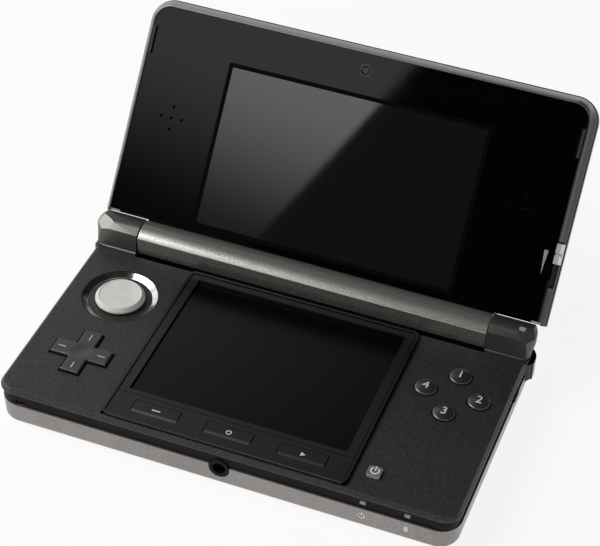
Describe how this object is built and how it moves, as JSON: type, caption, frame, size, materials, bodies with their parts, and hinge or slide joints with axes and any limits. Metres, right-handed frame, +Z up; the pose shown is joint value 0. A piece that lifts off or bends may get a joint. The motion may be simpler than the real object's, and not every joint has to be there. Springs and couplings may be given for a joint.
{
  "type": "clamshell handheld game console",
  "caption": "Clamshell handheld game console with a glossy hinged lid, a screen in each half, a sliding thumb pad, a cross pad, press buttons, shoulder buttons and a stylus.",
  "frame": {"origin": "centre of the base's underside, where the console rests on a table", "axes": "+Z up from the table, +X to the player's right along the hinge, -Y towards the player; the lid stands open as in the picture"},
  "size_m": [0.1344, 0.1168, 0.0685],
  "materials": {
    "silver_plastic": "satin metallic paint",
    "black_plastic": "fine matt",
    "charcoal_paint": "charcoal metallic paint, fine speckle",
    "hinge_paint": "satin metallic paint",
    "gloss_black": "polished",
    "rim_silver": "silver paint",
    "screen_glass": "glossy screen",
    "display_module": "display module",
    "board": "circuit board",
    "cell_wrap": "wrapped cell",
    "steel": "plain steel",
    "ring_chrome": "polished",
    "pad_rubber": "soft, fine matt",
    "carrier_plastic": "plain moulding",
    "mat_rubber": "silicone",
    "bumper_rubber": "soft black",
    "button_gloss": "semi-gloss",
    "power_grey": "silver-grey gloss",
    "light_window": "milky window",
    "infrared_plastic": "deep red",
    "camera_gloss": "dark lens",
    "speaker_metal": "speaker unit",
    "stylus_plastic": "smooth",
    "nib_plastic": "hard nib"
  },
  "bodies": {
    "base": {"bottom_cover": "silver_plastic", "lower_housing": "black_plastic", "stylus_holder": "black_plastic", "power_inlet": "black_plastic", "headphone_socket": "black_plastic", "microphone": "black_plastic", "left_front_plate": "charcoal_paint", "left_rear_plate": "charcoal_paint", "right_plate": "charcoal_paint", "screen_frame": "charcoal_paint", "screen_bezel": "charcoal_paint", "left_knuckle": "hinge_paint", "right_knuckle": "hinge_paint", "touch_panel": "screen_glass", "lower_display": "display_module", "main_board": "board", "battery": "cell_wrap", "hinge_units": "steel", "shoulder_pins": "steel", "cover_screws": "steel", "card_socket": "steel", "memory_card_socket": "steel", "slide_pad_ring": "ring_chrome", "slide_pad_floor": "carrier_plastic", "slide_pad_housing": "carrier_plastic", "button_mats": "mat_rubber", "status_lights": "light_window", "notice_light": "light_window", "infrared_window": "infrared_plastic"},
    "lid": {"hinge_barrel": "hinge_paint", "lid_cover": "gloss_black", "lid_rim": "rim_silver", "lid_panel": "gloss_black", "upper_screen": "screen_glass", "upper_display": "display_module", "inner_camera": "camera_gloss", "outer_cameras": "camera_gloss", "lid_speakers": "speaker_metal", "lid_bumpers": "bumper_rubber"},
    "stylus": {"stylus": "stylus_plastic", "stylus_nib": "nib_plastic"},
    "cross_pad": {"cross_pad": "button_gloss", "cross_pad_foot": "button_gloss"},
    "slide_pad_carriage": {"slide_pad_carriage": "carrier_plastic"},
    "slide_pad_cap": {"slide_pad_cap": "pad_rubber"},
    "cross_pad_pivot": {"cross_pad_pivot": "carrier_plastic"},
    "top_button": {"top_button": "button_gloss"},
    "left_button": {"left_button": "button_gloss"},
    "right_button": {"right_button": "button_gloss"},
    "bottom_button": {"bottom_button": "button_gloss"},
    "power_button": {"power_button": "power_grey"},
    "left_strip_button": {"left_strip_button": "button_gloss"},
    "middle_strip_button": {"middle_strip_button": "button_gloss"},
    "right_strip_button": {"right_strip_button": "button_gloss"},
    "left_shoulder_button": {"left_shoulder_button": "gloss_black"},
    "right_shoulder_button": {"right_shoulder_button": "gloss_black"},
    "volume_slider": {"volume_slider": "black_plastic"},
    "wireless_switch": {"wireless_switch": "black_plastic"},
    "memory_card_door": {"memory_card_door": "silver_plastic"},
    "depth_slider": {"depth_slider": "rim_silver"}
  },
  "joints": [
    {"name": "lid_hinge", "type": "hinge", "parent": "base", "child": "lid", "pos_m": [0, 0.033, 0.0139], "axis": [1, 0, 0], "range_deg": [-28, 127]},
    {"name": "depth_slide", "type": "slide", "parent": "lid", "child": "depth_slider", "axis": [0, -0.6018, -0.7986], "range_m": [0, 0.0064]},
    {"name": "slide_pad_across", "type": "slide", "parent": "base", "child": "slide_pad_carriage", "axis": [1, 0, 0], "range_m": [-0.0016, 0.0016], "stiffness_N_per_m": 250},
    {"name": "slide_pad_along", "type": "slide", "parent": "slide_pad_carriage", "child": "slide_pad_cap", "axis": [0, 1, 0], "range_m": [-0.0016, 0.0016], "stiffness_N_per_m": 250},
    {"name": "cross_pad_up_down", "type": "hinge", "parent": "base", "child": "cross_pad_pivot", "pos_m": [-0.0493, -0.0161, 0.0097], "axis": [1, 0, 0], "range_deg": [-2.5, 2.5], "stiffness_Nm_per_rad": 0.12},
    {"name": "cross_pad_left_right", "type": "hinge", "parent": "cross_pad_pivot", "child": "cross_pad", "pos_m": [-0.0493, -0.0161, 0.0097], "axis": [0, 1, 0], "range_deg": [-2.5, 2.5], "stiffness_Nm_per_rad": 0.12},
    {"name": "top_button_press", "type": "slide", "parent": "base", "child": "top_button", "axis": [0, 0, -1], "range_m": [0, 0.0008], "stiffness_N_per_m": 900, "springref_m": -0.0004},
    {"name": "left_button_press", "type": "slide", "parent": "base", "child": "left_button", "axis": [0, 0, -1], "range_m": [0, 0.0008], "stiffness_N_per_m": 900, "springref_m": -0.0004},
    {"name": "right_button_press", "type": "slide", "parent": "base", "child": "right_button", "axis": [0, 0, -1], "range_m": [0, 0.0008], "stiffness_N_per_m": 900, "springref_m": -0.0004},
    {"name": "bottom_button_press", "type": "slide", "parent": "base", "child": "bottom_button", "axis": [0, 0, -1], "range_m": [0, 0.0008], "stiffness_N_per_m": 900, "springref_m": -0.0004},
    {"name": "power_press", "type": "slide", "parent": "base", "child": "power_button", "axis": [0, 0, -1], "range_m": [0, 0.0005], "stiffness_N_per_m": 1200, "springref_m": -0.0003},
    {"name": "left_strip_press", "type": "slide", "parent": "base", "child": "left_strip_button", "axis": [0, 0, -1], "range_m": [0, 0.00035], "stiffness_N_per_m": 1500, "springref_m": -0.0002},
    {"name": "middle_strip_press", "type": "slide", "parent": "base", "child": "middle_strip_button", "axis": [0, 0, -1], "range_m": [0, 0.00035], "stiffness_N_per_m": 1500, "springref_m": -0.0002},
    {"name": "right_strip_press", "type": "slide", "parent": "base", "child": "right_strip_button", "axis": [0, 0, -1], "range_m": [0, 0.00035], "stiffness_N_per_m": 1500, "springref_m": -0.0002},
    {"name": "left_shoulder_press", "type": "hinge", "parent": "base", "child": "left_shoulder_button", "pos_m": [-0.05465, 0.0356, 0.0076], "axis": [0, 0, 1], "range_deg": [0, 3.5], "stiffness_Nm_per_rad": 0.25, "springref_deg": -1.15},
    {"name": "right_shoulder_press", "type": "hinge", "parent": "base", "child": "right_shoulder_button", "pos_m": [0.05465, 0.0356, 0.0076], "axis": [0, 0, -1], "range_deg": [0, 3.5], "stiffness_Nm_per_rad": 0.25, "springref_deg": -1.15},
    {"name": "volume_slide", "type": "slide", "parent": "base", "child": "volume_slider", "axis": [0, 1, 0], "range_m": [-0.004, 0.004]},
    {"name": "wireless_slide", "type": "slide", "parent": "base", "child": "wireless_switch", "axis": [0, 1, 0], "range_m": [0, 0.0015], "stiffness_N_per_m": 300, "springref_m": -0.0003},
    {"name": "memory_door_hinge", "type": "hinge", "parent": "base", "child": "memory_card_door", "pos_m": [-0.06475, -0.005, 0.0029], "axis": [0, -1, 0], "range_deg": [0, 85]},
    {"name": "stylus_slide", "type": "slide", "parent": "base", "child": "stylus", "axis": [0, 1, 0], "range_m": [0, 0.064]}
  ]
}
